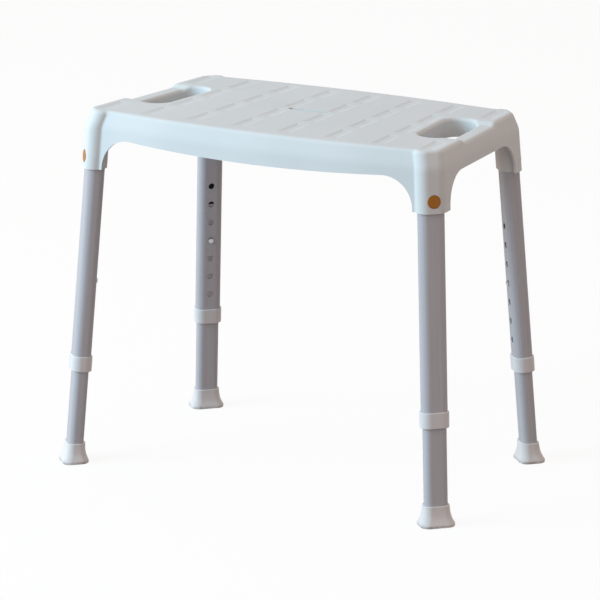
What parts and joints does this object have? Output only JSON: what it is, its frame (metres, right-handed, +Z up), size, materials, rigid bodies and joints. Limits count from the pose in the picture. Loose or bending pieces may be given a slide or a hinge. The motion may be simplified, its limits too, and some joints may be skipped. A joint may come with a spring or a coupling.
{
  "type": "shower stool",
  "caption": "Backless shower stool: moulded grey seat with handholds on splayed telescopic aluminium legs, set in height with sprung buttons and standing on rubber feet.",
  "frame": {"origin": "on the floor, below the middle of the seat, legs at their middle setting", "axes": "+Z up, +X to the right across the seat's width, -Y towards the front, wider edge"},
  "size_m": [0.5696, 0.3386, 0.4573],
  "materials": {
    "seat_plastic": "fine grain",
    "tube_aluminium": "satin anodised",
    "collar_plastic": "satin",
    "foot_rubber": "satin",
    "button_steel": "polished",
    "lock_plastic": "satin",
    "spring_steel": "rolled"
  },
  "bodies": {
    "seat_and_upper_legs": {"seat": "seat_plastic", "front_left_upper_tube": "tube_aluminium", "front_left_collar": "collar_plastic", "front_left_lock_spring": "spring_steel", "front_right_upper_tube": "tube_aluminium", "front_right_collar": "collar_plastic", "front_right_lock_spring": "spring_steel", "rear_left_upper_tube": "tube_aluminium", "rear_left_collar": "collar_plastic", "rear_left_lock_spring": "spring_steel", "rear_right_upper_tube": "tube_aluminium", "rear_right_collar": "collar_plastic", "rear_right_lock_spring": "spring_steel"},
    "front_left_lower_leg": {"front_left_lower_tube": "tube_aluminium", "front_left_foot": "foot_rubber", "front_left_height_spring": "spring_steel"},
    "front_left_height_button": {"front_left_height_button": "button_steel"},
    "front_left_lock_button": {"front_left_lock_button": "lock_plastic"},
    "front_right_lower_leg": {"front_right_lower_tube": "tube_aluminium", "front_right_foot": "foot_rubber", "front_right_height_spring": "spring_steel"},
    "front_right_height_button": {"front_right_height_button": "button_steel"},
    "front_right_lock_button": {"front_right_lock_button": "lock_plastic"},
    "rear_left_lower_leg": {"rear_left_lower_tube": "tube_aluminium", "rear_left_foot": "foot_rubber", "rear_left_height_spring": "spring_steel"},
    "rear_left_height_button": {"rear_left_height_button": "button_steel"},
    "rear_left_lock_button": {"rear_left_lock_button": "lock_plastic"},
    "rear_right_lower_leg": {"rear_right_lower_tube": "tube_aluminium", "rear_right_foot": "foot_rubber", "rear_right_height_spring": "spring_steel"},
    "rear_right_height_button": {"rear_right_height_button": "button_steel"},
    "rear_right_lock_button": {"rear_right_lock_button": "lock_plastic"}
  },
  "joints": [
    {"name": "front_left_height", "type": "slide", "parent": "seat_and_upper_legs", "child": "front_left_lower_leg", "axis": [0.0609, 0.0609, 0.9963], "range_m": [-0.075, 0.075]},
    {"name": "front_left_height_press", "type": "slide", "parent": "front_left_lower_leg", "child": "front_left_height_button", "axis": [-0.7045, -0.7045, 0.0862], "range_m": [0, 0.0046], "stiffness_N_per_m": 2500, "springref_m": -0.001, "deforming": ["front_left_height_spring"]},
    {"name": "front_left_lock_press", "type": "slide", "parent": "seat_and_upper_legs", "child": "front_left_lock_button", "axis": [0.7045, 0.7045, -0.0862], "range_m": [0, 0.0045], "stiffness_N_per_m": 3000, "springref_m": -0.001, "deforming": ["front_left_lock_spring"]},
    {"name": "front_right_height", "type": "slide", "parent": "seat_and_upper_legs", "child": "front_right_lower_leg", "axis": [-0.0609, 0.0609, 0.9963], "range_m": [-0.075, 0.075]},
    {"name": "front_right_height_press", "type": "slide", "parent": "front_right_lower_leg", "child": "front_right_height_button", "axis": [0.7045, -0.7045, 0.0862], "range_m": [0, 0.0046], "stiffness_N_per_m": 2500, "springref_m": -0.001, "deforming": ["front_right_height_spring"]},
    {"name": "front_right_lock_press", "type": "slide", "parent": "seat_and_upper_legs", "child": "front_right_lock_button", "axis": [-0.7045, 0.7045, -0.0862], "range_m": [0, 0.0045], "stiffness_N_per_m": 3000, "springref_m": -0.001, "deforming": ["front_right_lock_spring"]},
    {"name": "rear_left_height", "type": "slide", "parent": "seat_and_upper_legs", "child": "rear_left_lower_leg", "axis": [0.0609, -0.0609, 0.9963], "range_m": [-0.075, 0.075]},
    {"name": "rear_left_height_press", "type": "slide", "parent": "rear_left_lower_leg", "child": "rear_left_height_button", "axis": [-0.7045, 0.7045, 0.0862], "range_m": [0, 0.0046], "stiffness_N_per_m": 2500, "springref_m": -0.001, "deforming": ["rear_left_height_spring"]},
    {"name": "rear_left_lock_press", "type": "slide", "parent": "seat_and_upper_legs", "child": "rear_left_lock_button", "axis": [0.7045, -0.7045, -0.0862], "range_m": [0, 0.0045], "stiffness_N_per_m": 3000, "springref_m": -0.001, "deforming": ["rear_left_lock_spring"]},
    {"name": "rear_right_height", "type": "slide", "parent": "seat_and_upper_legs", "child": "rear_right_lower_leg", "axis": [-0.0609, -0.0609, 0.9963], "range_m": [-0.075, 0.075]},
    {"name": "rear_right_height_press", "type": "slide", "parent": "rear_right_lower_leg", "child": "rear_right_height_button", "axis": [0.7045, 0.7045, 0.0862], "range_m": [0, 0.0046], "stiffness_N_per_m": 2500, "springref_m": -0.001, "deforming": ["rear_right_height_spring"]},
    {"name": "rear_right_lock_press", "type": "slide", "parent": "seat_and_upper_legs", "child": "rear_right_lock_button", "axis": [-0.7045, -0.7045, -0.0862], "range_m": [0, 0.0045], "stiffness_N_per_m": 3000, "springref_m": -0.001, "deforming": ["rear_right_lock_spring"]}
  ]
}
